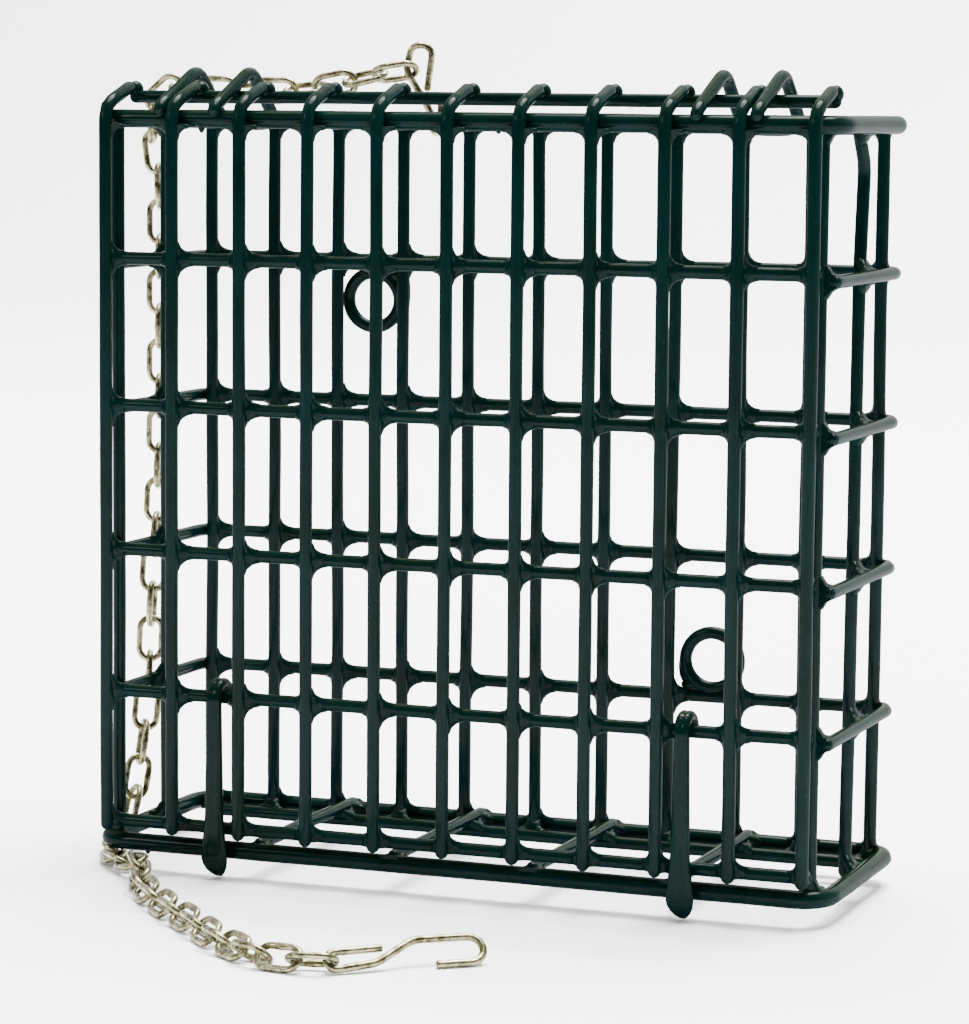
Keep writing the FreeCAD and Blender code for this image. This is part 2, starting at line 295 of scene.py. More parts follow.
def multiplied(tree, first, second):
    node = tree.nodes.new("ShaderNodeMath")
    node.operation = "MULTIPLY"
    tree.links.new(first, node.inputs[0])
    tree.links.new(second, node.inputs[1])
    return node.outputs[0]


vinyl, tree, shader = new_material("green_vinyl_dip")
thick = spread(tree, noise(tree, 70, 3), 0.35, 0.65, 0, 1)
body_colour = mixed(tree, thick, VINYL_DARK, VINYL_BLUE)
# Painted sheen and dust: the up-facing share of each vertex, made patchy by noise.
sheen_dust_share = multiplied(tree, attribute(tree, "painted_sheen_dust"), spread(tree, noise(tree, 260, 4), 0.3, 0.7, 0.25, 1))
tree.links.new(mixed(tree, sheen_dust_share, body_colour, VINYL_SHEEN_AND_DUST), shader.inputs["Base Color"])
tree.links.new(spread(tree, noise(tree, 420, 3), 0.3, 0.7, 0.16, 0.34), shader.inputs["Roughness"])
shader.inputs["IOR"].default_value = 1.5
shader.inputs["Specular IOR Level"].default_value = 0.0
shader.inputs["Coat Weight"].default_value = 0.10
shader.inputs["Coat Roughness"].default_value = 0.12
bumped(tree, shader, noise(tree, 1100, 2, 0.4), 0.00012, 0.35)
print("vinyl material with", len(tree.nodes), "nodes")

# %% [markdown]
# ## A profile carried along a line
# Every wire here is a round profile carried along a line. At each station the profile needs two
# directions across the line. They come from one fixed direction, the wire's level, that the line
# never runs along: the first is level x tangent, and the second is tangent x the first. All
# stations and all points of the profile are worked out together, as one array.

# %% Lines and stations
def at_distances(line, distances):
    """Points on a line of short runs, at given distances from its start."""
    walked = np.concatenate([[0], np.cumsum(np.linalg.norm(np.diff(line, axis=0), axis=1))])
    return np.stack([np.interp(distances, walked, line[:, k]) for k in range(3)], axis=1)


def line_length(line):
    return float(np.linalg.norm(np.diff(line, axis=0), axis=1).sum())


def round_ended(length, step, radius, caps=6):
    """Distances along a wire, and how full the profile is at each. Near an end they follow a
    half ball: distance = radius (1 - cos a) and fullness = sin a, with a from 0.2 to a right angle."""
    a = np.linspace(0.2, math.pi / 2, caps)
    inside = np.linspace(radius, length - radius, max(2, int(length / step)))
    into_end = radius * (1 - np.cos(a))
    distances = np.concatenate([into_end, inside[1:-1], length - into_end[::-1]])
    fullness = np.concatenate([np.sin(a), np.ones(len(inside) - 2), np.sin(a[::-1])])
    return distances, fullness


def slow_waves(distances, longest, seed):
    """Four sines added, of shorter and shorter wave and of random phase: about -1 to 1."""
    k = np.arange(1, 5)
    phase = np.random.default_rng(seed).uniform(0, 2 * math.pi, 4)
    return (np.sin(2 * math.pi * k * distances[:, None] / longest + phase) / k).sum(axis=1) / 2


def carried(line, level, radius, sides, closed=False):
    """point(i, j) = line(i) + radius(i, j) (cos a(j) across(i) + sin a(j) above(i))."""
    ahead = np.roll(line, -1, 0) - np.roll(line, 1, 0) if closed else np.gradient(line, axis=0)
    ahead = unit(ahead)
    across = unit(np.cross(level, ahead))
    above = np.cross(ahead, across)
    a = np.linspace(0, 2 * math.pi, sides, endpoint=False)[None, :, None]
    return line[:, None] + radius[..., None] * (np.cos(a) * across[:, None] + np.sin(a) * above[:, None])


print("half ball stations:", np.round(round_ended(20, 4, 1.0)[0], 2))

# %% [markdown]
# ## Bent wires
# A bent wire is straight runs joined by arcs. Each corner is cut back by radius / tan(half the
# angle), and the arc turns about a centre on the line that halves the angle.

# %% Bending
def bent(corners, radii, arc_points=9):
    """The line of a wire through its corners, each rounded to its own radius."""
    corners = np.asarray(corners, float)
    parts = [corners[:1]]
    for before, corner, after, radius in zip(corners, corners[1:], corners[2:], radii):
        back, ahead = unit(before - corner), unit(after - corner)
        half = math.acos(np.clip(back @ ahead, -1, 1)) / 2
        halving, sideways = unit(back + ahead), unit(ahead - back)
        centre = corner + halving * radius / math.sin(half)
        swing = np.linspace(half - math.pi / 2, math.pi / 2 - half, arc_points)[:, None]
        parts.append(centre + radius * (sideways * np.sin(swing) - halving * np.cos(swing)))
    parts.append(corners[-1:])
    return np.concatenate(parts)


print("a bent line of", len(bent([(0, 0, 0), (10, 0, 0), (10, 10, 0)], [3])), "points")

# %% [markdown]
# ## From arrays to pieces
# A shape is a list of grids. Each grid is wrapped round its profile, and either runs on into
# itself, as a ring does, or is closed by a flat face at each end. Faces have to look outwards:
# the volume that they enclose, summed from their corners, is negative when they look inwards.

# %% Meshes
def grid_faces(rows, columns, closed):
    """Quads between neighbouring points of a grid, wrapped in its columns."""
    i = np.arange(rows if closed else rows - 1)[:, None]
    j = np.arange(columns)[None, :]
    k, m = (i + 1) % rows, (j + 1) % columns
    quads = np.stack([i * columns + j, i * columns + m, k * columns + m, k * columns + j], axis=-1)
    caps = [] if closed else [list(range(columns))[::-1], list(range((rows - 1) * columns, rows * columns))]
    return quads.reshape(-1, 4).tolist() + caps


def enclosed(points, faces):
    """Volume from the faces' first three corners and, for quads, their other half."""
    quads = np.array([f for f in faces if len(f) == 4])
    tris = np.array([f for f in faces if len(f) == 3])
    total = 0.0
    if len(quads):
        a, b, c, d = (points[quads[:, n]] for n in range(4))
        total += np.einsum("ij,ij->", a, np.cross(b, c)) + np.einsum("ij,ij->", a, np.cross(c, d))
    if len(tris):
        a, b, c = (points[tris[:, n]] for n in range(3))
        total += np.einsum("ij,ij->", a, np.cross(b, c))
    return total / 6


def mark_sheen_and_dust(mesh):
    """Painted sheen of the overhead light, with dust, on faces that look up: the square of the normal's
    upward part.
    """
    normals = np.zeros(len(mesh.vertices) * 3, np.float32)
    mesh.vertex_normals.foreach_get("vector", normals)
    lift = np.clip(normals.reshape(-1, 3)[:, 2], 0, 1) ** 2
    mesh.attributes.new("painted_sheen_dust", "FLOAT", "POINT").data.foreach_set("value", lift)


def make_piece(name, shapes, material, body, nodes=()):
    """Joins shapes, which are pairs of points and faces, into one object that rides on a body."""
    points, faces, start = [], [], 0
    for shape_points, shape_faces in shapes:
        flat = np.asarray(shape_points).reshape(-1, 3)
        if enclosed(flat - flat.mean(axis=0), shape_faces) < 0:
            shape_faces = [f[::-1] for f in shape_faces]
        faces += [[start + v for v in f] for f in shape_faces]
        points.append(flat)
        start += len(flat)
    mesh = bpy.data.meshes.new(name)
    mesh.from_pydata((np.concatenate(points) * MM).tolist(), [], faces)
    mesh.shade_smooth()
    mark_sheen_and_dust(mesh)
    mesh.materials.append(material)
    piece = bpy.data.objects.new(name, mesh)
    bpy.context.scene.collection.objects.link(piece)
    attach(piece, body)
    if nodes:
        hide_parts(*nodes)
    return piece


print("a grid of 5 by 8 points has", len(grid_faces(5, 8, False)), "faces")

# %% [markdown]
# ## Straight wires
# A dipped wire is never quite even. The coat swells and thins by a few hundredths of a
# millimetre over some centimetres, sags to one side as it cures, and is drawn round at the ends.
# The steel inside wanders a little too, where it was bent in handling. Each wire gets its own
# random waves from a seed, so that no two are the same and every run gives the same cage.

# %% Coated wires
WIRE, RING, LATCH, HOOK = 2.3, 3.2, 2.1, 1.3
SIDES, COLUMNS = 18, 11
COAT_MEAN, COAT_SWELL, COAT_SAG = 0.985, 0.020, 0.015   # parts of the wire's own radius
COAT_WAVE, WANDER_WAVE = 47.0, 160.0                    # the longest wave of each


def coat(distances, diameter, fullness, seed, sides=SIDES, longest=COAT_WAVE):
    """radius(i, j) = half the diameter, times fullness, times (mean, plus swell in waves along the
    wire, plus sag on the side that the coat ran to, which turns slowly about the wire)."""
    a = np.linspace(0, 2 * math.pi, sides, endpoint=False)[None, :]
    sag = 3 * slow_waves(distances, 2 * longest, seed + 500)[:, None]
    swell = COAT_SWELL * slow_waves(distances, longest, seed)[:, None] + COAT_SAG * np.cos(a + sag)
    return diameter / 2 * np.asarray(fullness)[:, None] * (COAT_MEAN + swell)


def wandering(line, distances, length, directions, amount, seed):
    """Moves a line sideways in slow waves that die out at its ends."""
    hold = np.sin(math.pi * distances / length)[:, None]
    for n, direction in enumerate(directions):
        waves = slow_waves(distances, WANDER_WAVE, seed + 70 * n)[:, None]
        line = line + amount * hold * waves * np.asarray(direction, float)
    return line


def wire_shape(line, level, diameter, seed, step=2.2, wander=0.0, directions=(), blunt=1.0):
    """One open wire: its stations, its wander and its coat, with round ends."""
    length = line_length(line)
    distances, fullness = round_ended(length, step, blunt * diameter / 2)
    path = at_distances(line, distances)
    if wander:
        path = wandering(path, distances, length, directions, wander, seed)
    points = carried(path, level, coat(distances, diameter, fullness, seed), SIDES)
    return points, grid_faces(len(points), SIDES, False)


def straight_line(node):
    """Both ends of a straight wire, and the two directions across it, from its box."""
    low, high = corners_of(node)
    axis = int(np.argmax(high - low))
    ends = np.stack([(low + high) / 2] * 2)
    ends[0, axis], ends[1, axis] = low[axis], high[axis]
    return ends, [np.eye(3)[k] for k in range(3) if k != axis]


def coated_straight(node, seed, wander=0.12, lean=(0.0, 0.0)):
    """A straight node made again as a dipped wire. Lean moves its top and its bottom in X."""
    ends, directions = straight_line(node)
    ends[:, 0] += np.array(lean)[::-1]
    shape = wire_shape(ends, directions[0], WIRE, seed, wander=wander, directions=directions)
    return make_piece(node + "_dipped", [shape], vinyl, BODY_OF[node], [node])


REAR_LEANS = {3: (0.0, 0.3), 5: (0.5, 1.0), 6: (0.7, 0.9), 7: (0.9, 0.6), 8: (0.3, 0.5)}
for k in range(COLUMNS):
    coated_straight("rear_upright_%02d" % k, 100 + k, 0.2, REAR_LEANS.get(k, (0.0, 0.0)))
straight_nodes = ["side_upright_left", "front_post_left", "front_post_right", "rear_sill",
                  "door_bottom_rail", "hinge_rod"]
straight_nodes += ["door_rail_%d" % n for n in range(1, 5)] + ["floor_bar_%d" % n for n in range(1, 5)]
for seed, node in enumerate(straight_nodes):
    coated_straight(node, 200 + seed)

# The right side's upright is bowed: heights, and how far back of its place it is at each.
BOW = np.array([(0.0, 2.5), (106.0, 4.6), (125.5, 6.6), (130.5, 2.8), (134.0, 2.0)])
BOW_BENDS = [30.0, 5.0, 2.0]
ends, directions = straight_line("side_upright_right")
heights = np.concatenate([ends[:1, 2], BOW[1:-1, 0], ends[1:, 2]])
corners = ends[0] + np.outer(heights - ends[0, 2], (0, 0, 1))
corners[:, 1] += np.interp(heights, *BOW.T)
shape = wire_shape(bent(corners, BOW_BENDS), directions[0], WIRE, 215, wander=0.1, directions=directions)
make_piece("side_upright_right_dipped", [shape], vinyl, "cage", ["side_upright_right"])
print("straight wires:", COLUMNS + len(straight_nodes), "and one that is bowed")

# %% [markdown]
# ## The door's uprights
# Each upright runs up in front of the top ring, bends back over it and ends at the hinge rod. The
# fold is round the ring's front rod with a small gap, so that the door can turn.

# %% Door uprights
SWING_GAP, LIP_RISE, LIP_LENGTH = 0.35, math.radians(19.0), 10.6
ring_front = np.array([0.0, ring_low[1] + RING / 2, (ring_low[2] + ring_high[2]) / 2])
fold_radius = RING / 2 + SWING_GAP + WIRE / 2
door_y = ring_front[1] - fold_radius
fold_z = ring_front[2] + fold_radius * math.tan((math.pi / 2 - LIP_RISE) / 2)
upright_x = [middle_of("door_upright_%02d" % k)[0] for k in range(COLUMNS)]
lip_way = np.array([0.0, math.cos(LIP_RISE), math.sin(LIP_RISE)])

for k, x in enumerate(upright_x):
    node = "door_upright_%02d" % k
    foot, fold = np.array([x, door_y, corners_of(node)[0][2]]), np.array([x, door_y, fold_z])
    line = bent([foot, fold, fold + LIP_LENGTH * lip_way], [fold_radius])
    shape = wire_shape(line, (1, 0, 0), WIRE, 300 + k, wander=0.1, directions=[(1, 0, 0)])
    make_piece(node + "_dipped", [shape], vinyl, "door", [node])
print("door uprights at y %.2f, folding at z %.1f" % (door_y, fold_z))

# %% [markdown]
# ## Rings and hoops
# The two rings are thicker rods, closed into rounded rectangles. A closed wire has no ends: its
# last station joins its first, so the waves of its coat have to come round to where they began,
# which they do when the length is a whole number of waves. The hoops are open, and clasp the
# basket's left side, back and right side.

# %% Rings
RING_CORNER, HOOP_CORNER = 5.0, 2.5
RING_STATIONS, RING_SIDES = 190, 22


def ring_line(node):
    """Once round the ring from the middle of its front, at even steps, without coming back."""
    low, high = corners_of(node)
    (x0, y0, z0), (x1, y1, z1) = low + RING / 2, high - RING / 2
    z = (z0 + z1) / 2
    x = (x0 + x1) / 2
    turns = [(x, y0, z), (x1, y0, z), (x1, y1, z), (x0, y1, z), (x0, y0, z), (x, y0, z)]
    line = bent(turns, [RING_CORNER] * 4, 13)
    length = line_length(line)
    distances = np.linspace(0, length, RING_STATIONS, endpoint=False)
    return at_distances(line, distances), distances, length


for seed, node in enumerate(("top_ring", "bottom_ring")):
    line, distances, length = ring_line(node)
    radius = coat(distances, RING, np.ones(len(line)), 400 + seed, RING_SIDES, length / 6)
    points = carried(line, (0, 0, 1), radius, RING_SIDES, closed=True)
    shape = points, grid_faces(len(points), RING_SIDES, True)
    make_piece(node + "_dipped", [shape], vinyl, "cage", [node])
    print(node, "is %.0f mm round" % length)

# %% Hoops
for n in range(1, 5):
    node = "hoop_%d" % n
    low, high = corners_of(node)
    x0, x1, y0, y1 = low[0] + WIRE / 2, high[0] - WIRE / 2, low[1], high[1] - WIRE / 2
    z = middle_of(node)[2]
    line = bent([(x0, y0, z), (x0, y1, z), (x1, y1, z), (x1, y0, z)], [HOOP_CORNER] * 2)
    shape = wire_shape(line, (0, 0, 1), WIRE, 420 + n, wander=0.08, directions=[(0, 0, 1)])
    make_piece(node + "_dipped", [shape], vinyl, "cage", [node])
print("hoops at", [round(middle_of("hoop_%d" % n)[2], 1) for n in range(1, 5)])

# %% [markdown]
# ## Hinge staples
# Two hairpins of wire clasp the ring's front rod, rise over the hinge rod and come down behind
# it. The line isn't flat: two legs run back side by side, and a crosspiece joins them. The level
# direction leans back and up, which neither the legs nor the crosspiece do.

# %% Staples
STAPLE_LEGS = (53.45, 43.2)
STAPLE_TIP, STAPLE_FOOT = (-2.75, 0.7), (-1.75, 2.25)
STAPLE_PEAK, STAPLE_TAIL = (12.9, 8.6), (24.0, -0.9)
STAPLE_BENDS = [1.3, 4.0, 3.2, 3.2, 4.0, 1.3]


def staple_line(side):
    """Tip, foot, peak and tail of the outer leg, then the inner one's the other way round."""
    places = [STAPLE_TIP, STAPLE_FOOT, STAPLE_PEAK, STAPLE_TAIL]
    stops = [(STAPLE_LEGS[0], place) for place in places]
    stops += [(STAPLE_LEGS[1], place) for place in places[::-1]]
    corners = [(side * x, ring_front[1] + back, ring_front[2] + rise) for x, (back, rise) in stops]
    return bent(corners, STAPLE_BENDS)


for seed, (side, node) in enumerate(((-1, "hinge_staple_left"), (1, "hinge_staple_right"))):
    shape = wire_shape(staple_line(side), (0, 0.4, 0.9), WIRE, 440 + seed, step=1.2)
    make_piece(node + "_dipped", [shape], vinyl, "cage", [node])
print("staple wire %.0f mm long" % line_length(staple_line(1)))

# %% [markdown]
# ## Latches
# A latch is a hairpin of spring wire. It curls over a rail of the door, runs down, and turns
# under the bottom ring. The vinyl has bridged the narrow slot between its two legs, so it is one
# flat strap with a shallow groove, and its closed end is drawn out into a leaf. So the profile is
# an oval with a waist, and its width changes along the line.

# %% Latches
LATCH_CURL, CURL_UNDER, LATCH_SIDES = 2.53, math.radians(20.0), 24
# Distance from the leaf's tip, and the strap's half width there.
LEAF_STOPS = np.array([(0, 0.35), (0.6, 0.7), (1.6, 1.4), (3.2, 2.2), (5.0, 2.5), (8, 2.1),
                       (12, 1.7), (20, 1.55), (32, 1.35)])
rail = middle_of("door_rail_4")
low_ring = corners_of("bottom_ring")
low_ring_front = np.array([0.0, low_ring[0][1] + RING / 2, (low_ring[0][2] + low_ring[1][2]) / 2])
leg_y = rail[1] - LATCH_CURL
under_radius = low_ring_front[1] - leg_y
under_z = LATCH / 2 + under_radius


def latch_line(x):
    """An arc over the rail, a straight leg, and a quarter circle under the ring."""
    over = np.linspace(-CURL_UNDER, math.pi, 22)
    below = np.linspace(0, math.pi / 2, 14)[1:]
    y = np.concatenate([
        rail[1] + LATCH_CURL * np.cos(over), low_ring_front[1] - under_radius * np.cos(below)])
    z = np.concatenate([rail[2] + LATCH_CURL * np.sin(over), under_z - under_radius * np.sin(below)])
    last = len(over)
    y = np.insert(y, last, leg_y)
    z = np.insert(z, last, under_z)
    return np.stack([np.full(len(y), x), y, z], axis=1)


def latch_shape(x):
    """Half width follows stops counted from the leaf's tip; the groove is a shallow dip in the
    thickness where the profile crosses its own middle."""
    line = latch_line(x)
    length = line_length(line)
    distances, fullness = round_ended(length, 0.9, LATCH / 2)
    path = at_distances(line, distances)
    ahead = unit(np.gradient(path, axis=0))
    across = np.cross((1.0, 0, 0), ahead)
    a = np.linspace(0, 2 * math.pi, LATCH_SIDES, endpoint=False)[None, :]
    half_width = np.interp(length - distances, *LEAF_STOPS.T)
    groove = 1 - 0.22 * np.exp(-(np.cos(a) / 0.3) ** 2) * np.clip((length - distances[:, None]) / 8, 0.2, 1)
    wide = (half_width * fullness)[:, None] * np.cos(a)
    deep = (LATCH / 2 * fullness)[:, None] * np.sign(np.sin(a)) * np.abs(np.sin(a)) ** 0.8 * groove
    points = path[:, None] + wide[..., None] * np.array([1.0, 0, 0]) + deep[..., None] * across[:, None]
    return points, grid_faces(len(points), LATCH_SIDES, False)


for node, body in (("latch_left", "latch_left_spring"), ("latch_right", "latch_right_spring")):
    make_piece(node + "_dipped", [latch_shape(middle_of(node)[0])], vinyl, body, [node])
print("latch line %.0f mm long" % line_length(latch_line(0.0)))

# %% [markdown]
# ## Screw eyes
# Two plain wire rings are welded to the back, for screws or a cord. A ring like this is a circle
# carried round a circle. Where it touches a hoop or an upright the vinyl fills the narrow wedge
# between them, and a flattened ball of vinyl in the wedge gives that look.

# %% Screw eyes
EYE, EYE_STATIONS = 4.95, 40
OUTSIDE = EYE + WIRE / 2
# The balls that fill each eye's wedges: their places from its middle, and their half sizes.
WEDGES = {
    "screw_eye_upper": [((0, 0, OUTSIDE + 0.1), (3.6, 1.0, 1.0)),
                        ((OUTSIDE + 0.2, -0.8, 1.5), (1.1, 1.0, 4.6)),
                        ((4.6, -0.2, 4.6), (1.6, 0.9, 1.6))],
    "screw_eye_lower": [((-OUTSIDE + 1.1, 0.1, -1.4), (1.3, 1.0, 2.9)),
                        ((-3.4, 0, -4.6), (2.4, 1.0, 1.3)),
                        ((3.0, 0, -5.0), (2.6, 0.9, 1.0))]}


def eye_centre(node):
    """Middle of an eye: its box is cut short above, but reaches the wire's outside below."""
    low, high = corners_of(node)
    return np.array([(low[0] + high[0]) / 2, (low[1] + high[1]) / 2, low[2] + OUTSIDE])


def eye_shape(centre, seed):
    """A round profile carried once round a circle that stands across Y."""
    turn = np.linspace(0, 2 * math.pi, EYE_STATIONS, endpoint=False)
    line = centre + EYE * np.stack([np.cos(turn), 0 * turn, np.sin(turn)], axis=1)
    radius = coat(turn * EYE, WIRE, np.ones(EYE_STATIONS), seed, SIDES, EYE * math.pi)
    return carried(line, (0, 1, 0), radius, SIDES, closed=True), grid_faces(len(line), SIDES, True)


def ball_shape(centre, size, rings=8, sides=12):
    """A ball stretched to three half sizes: size times (sin p cos a, sin p sin a, cos p)."""
    p = np.linspace(0.12, math.pi - 0.12, rings)[:, None]
    a = np.linspace(0, 2 * math.pi, sides, endpoint=False)[None, :]
    ball = np.stack([np.sin(p) * np.cos(a), np.sin(p) * np.sin(a), np.cos(p) + 0 * a], axis=-1)
    return np.asarray(centre) + ball * np.asarray(size), grid_faces(rings, sides, False)


for seed, (node, wedges) in enumerate(WEDGES.items()):
    centre = eye_centre(node)
    balls = [ball_shape(centre + place, size) for place, size in wedges]
    make_piece(node + "_dipped", [eye_shape(centre, 460 + seed)] + balls, vinyl, "cage", [node])
    print(node, "at", np.round(centre, 1))

# %% [markdown]
# ## Vinyl in the corners of the grid
# When a welded cross comes out of the dip, vinyl stays in its four corners and cures as a small
# concave web. All four webs of one crossing are one closed pad between the two wires: seen square
# on, its outline is a star whose sides are arcs that touch both wires, and its middle plane is a
# saddle, because its two arms end on wires that lie one behind the other. One function makes
# every crossing of a family at once, as one array with a row for each crossing.

# %% Webs
def star_outline(half_a, half_b, fillet):
    """A star's outline: the first quarter's arc, of radius fillet and centre (reach_a, reach_b),
    with both arm ends, and that quarter mirrored into the other three."""
    reach_a, reach_b = half_b + fillet, half_a + fillet
    start, end = math.atan2(half_a, reach_a), math.atan2(reach_b, half_b)
    angle = np.linspace(start, end, 5)
    toward = reach_a * np.cos(angle) + reach_b * np.sin(angle)
    distance = toward - np.sqrt(np.clip(toward ** 2 - reach_a ** 2 - reach_b ** 2 + fillet ** 2, 0, None))
    quarter = np.stack([distance * np.cos(angle), distance * np.sin(angle)], axis=1)
    quarter = np.concatenate([[(reach_a, 0.0)], quarter, [(0.0, reach_b)]])
    second = quarter[::-1] * (-1, 1)
    half = np.concatenate([quarter, second[1:]])
    return np.concatenate([half, -half[1:-1]])


RING_SHARE = np.array([0.62, 0.88, 1.0, 0.88, 0.62])
RING_SIDE = np.array([1, 1, 0, -1, -1])


def web_family(centres, way_a, way_b, depth, half_a, half_b, gap, fillet=2.0, thick=1.35, within=None):
    """Pads at many crossings. Ring t of a pad is the outline times t, moved in depth by the
    saddle gap/2 t cos(2 angle) and by the thickness, thick sqrt(1 - t^2), to either side. Where
    wires end just past a crossing, the box within stops the pads' arms inside them."""
    outline = star_outline(half_a, half_b, fillet)
    turn = (outline[:, 0] ** 2 - outline[:, 1] ** 2) / (outline ** 2).sum(axis=1)
    t = RING_SHARE[:, None]
    deep = gap / 2 * t * turn + RING_SIDE[:, None] * thick * np.sqrt(1 - t ** 2)
    flat = np.concatenate([(t[..., None] * outline).reshape(-1, 2), np.zeros((2, 2))])
    deep = np.concatenate([deep.ravel(), [thick, -thick]])
    pad = np.outer(flat[:, 0], way_a) + np.outer(flat[:, 1], way_b) + np.outer(deep, depth)
    count, sides = len(pad), len(outline)
    points = np.asarray(centres, float)[:, None] + pad
    if within is not None:
        points = np.clip(points, *within)
    j = np.arange(sides)
    first = np.stack([j, (j + 1) % sides, np.full(sides, count - 2)], axis=1)
    last = (len(RING_SHARE) - 1) * sides
    second = np.stack([last + (j + 1) % sides, last + j, np.full(sides, count - 1)], axis=1)
    quads = np.array(grid_faces(len(RING_SHARE), sides, False)[:-2])[:, ::-1]
    starts = np.arange(len(points))[:, None, None] * count
    faces = (starts + quads).reshape(-1, 4).tolist()
    faces += (starts + np.concatenate([first, second])).reshape(-1, 3).tolist()
    return points, faces


def crossings(first, second, third):
    """Every combination of three lists of places, as rows of X, Y and Z."""
    return np.stack(np.meshgrid(first, second, third, indexing="ij"), axis=-1).reshape(-1, 3)


X, Y, Z = np.eye(3)
half_wire, half_ring = WIRE / 2, RING / 2
PAST_WIRE, PAST_RING = 0.8, 1.2     # how far past a crossing a pad goes where a wire ends
one_pad = web_family([(0, 0, 0)], X, Z, Y, half_wire, half_wire, WIRE)
print("a pad between two wires has", len(one_pad[1]), "faces")

# %% [markdown]
# ## Which crossings there are
# The door has its uprights over its rails, and a round knob where each one's lip meets the hinge
# rod. The back has its uprights over the hoops, the sill and both rings, and each side has its
# upright and its post. The webs of the door are one piece that rides on the door, and the cage has
# one each for back, sides and floor.

# %% Door webs
rails = [middle_of("door_rail_%d" % n) for n in range(1, 5)] + [middle_of("door_bottom_rail")]
rail_gap = rails[0][1] - door_y
door_low = np.array([upright_x[0] - PAST_WIRE, -np.inf, rails[-1][2] - PAST_WIRE])
door_high = np.array([upright_x[-1] + PAST_WIRE, np.inf, np.inf])
door_webs = web_family(
    crossings(upright_x, [door_y + rail_gap / 2], [r[2] for r in rails]),
    X, Z, Y, half_wire, half_wire, rail_gap, within=(door_low, door_high))
rod = middle_of("hinge_rod")
lip_up = np.cross(X, lip_way)
lip_over = np.dot(fold_z * Z + door_y * Y - rod, lip_up)
KNOB = (1.35, 1.6, 1.5)             # half sizes of the vinyl round a lip's end
lip_ends = crossings(upright_x, [rod[1]], [rod[2]]) + lip_up * lip_over / 2 + 0.5 * lip_way
knobs = [ball_shape(place, KNOB) for place in lip_ends]
make_piece("door_corner_webs", [door_webs] + knobs, vinyl, "door")
print("door webs:", COLUMNS * len(rails), "lip over rod by %.2f" % lip_over)

# %% Back webs
rear_y = middle_of("rear_upright_05")[1]
rear_x = [middle_of("rear_upright_%02d" % k)[0] for k in range(COLUMNS)]
hoops = [corners_of("hoop_%d" % n) for n in range(1, 5)]
hoop_z = [(low[2] + high[2]) / 2 for low, high in hoops]
hoop_back = hoops[0][1][1] - half_wire
hoop_side = hoops[0][1][0] - half_wire
ring_back = ring_high[1] - half_ring
ring_side = ring_high[0] - half_ring
ring_z = [ring_front[2], low_ring_front[2]]
sill = middle_of("rear_sill")


def leaned(rows):
    """Moves each crossing sideways with the upright that it is on."""
    rows = rows.copy()
    for k, (top, bottom) in REAR_LEANS.items():
        here = np.abs(rows[:, 0] - rear_x[k]) < 1.0
        share = (rows[here, 2] - ring_z[1]) / (ring_z[0] - ring_z[1])
        rows[here, 0] += bottom + (top - bottom) * share
    return rows


back_box = (np.array([rear_x[0] - PAST_WIRE, -np.inf, ring_z[1] - PAST_RING]),
            np.array([rear_x[-1] + PAST_WIRE, np.inf, ring_z[0] + PAST_RING]))
back_webs = web_family(
    leaned(crossings(rear_x, [(rear_y + hoop_back) / 2], hoop_z)),
    X, Z, Y, half_wire, half_wire, hoop_back - rear_y, within=back_box)
back_ring_webs = web_family(
    leaned(crossings(rear_x, [(rear_y + ring_back) / 2], ring_z)),
    X, Z, Y, half_ring, half_wire, ring_back - rear_y, within=back_box)
sill_webs = web_family(
    leaned(crossings(rear_x, [(rear_y + sill[1]) / 2], [sill[2]])),
    X, Z, -Y, half_wire, half_wire, rear_y - sill[1], 1.6, within=back_box)
make_piece("back_corner_webs", [back_webs, back_ring_webs, sill_webs], vinyl, "cage")
print("back webs:", COLUMNS * (len(hoop_z) + 3))

# %% Side and floor webs
post_y = middle_of("front_post_left")[1]
side_box = (np.array([-np.inf, post_y - PAST_WIRE, ring_z[1] - PAST_RING]),
            np.array([np.inf, np.inf, ring_z[0] + PAST_RING]))
side_shapes = []
for side, name in ((-1, "left"), (1, "right")):
    for node in ("side_upright_" + name, "front_post_" + name):
        x, y, _ = middle_of(node)
        into_corner = max(ring_front[1] + RING_CORNER - y, 0.0)
        ring_here = ring_side - RING_CORNER + math.sqrt(RING_CORNER ** 2 - into_corner ** 2)
        for others, place, half in ((hoop_z, hoop_side, half_wire), (ring_z, ring_here, half_ring)):
            rows = crossings([(x + side * place) / 2], [y], others)
            if node == "side_upright_right":
                rows[:, 1] += np.interp(rows[:, 2], *BOW.T)
            side_shapes.append(web_family(
                rows, Y, Z, side * X, half, half_wire, place - abs(x), within=side_box))
make_piece("side_corner_webs", side_shapes, vinyl, "cage")

bars = [middle_of("floor_bar_%d" % n) for n in range(1, 5)]
bar_x = [b[0] for b in bars]
over_ring = bars[0][2] - low_ring_front[2]
floor_box = (low_ring_front - (np.inf, PAST_RING, np.inf),
             np.array([np.inf, ring_back + PAST_RING, np.inf]))
floor_shapes = [
    web_family(crossings(bar_x, [low_ring_front[1], ring_back], [low_ring_front[2] + over_ring / 2]),
               X, Y, -Z, half_ring, half_wire, over_ring, 2.0, 1.2, floor_box),
    web_family(crossings(bar_x, [sill[1]], [(sill[2] + bars[0][2]) / 2]), X, Y, -Z, half_wire, half_wire,
               bars[0][2] - sill[2], 1.6)]
make_piece("floor_corner_webs", floor_shapes, vinyl, "cage")
print("side families:", len(side_shapes), "floor webs:", len(bar_x) * 3)

# %% [markdown]
# ## Ears at the fold and drips
# Where each upright of the door folds over the ring, vinyl gathers in the crook and stands out on
# both sides as a thin ear. An ear is the lower half of the same star, pressed flat. Drips are
# turned about an upright axis: they spread out onto the wire and are round at the bottom.

# %% Ears
EAR_FILLET, EAR_THICK = 2.0, 0.75
EAR_TOP = 0.9                       # below the ring's middle, so that the ring is behind an ear's top


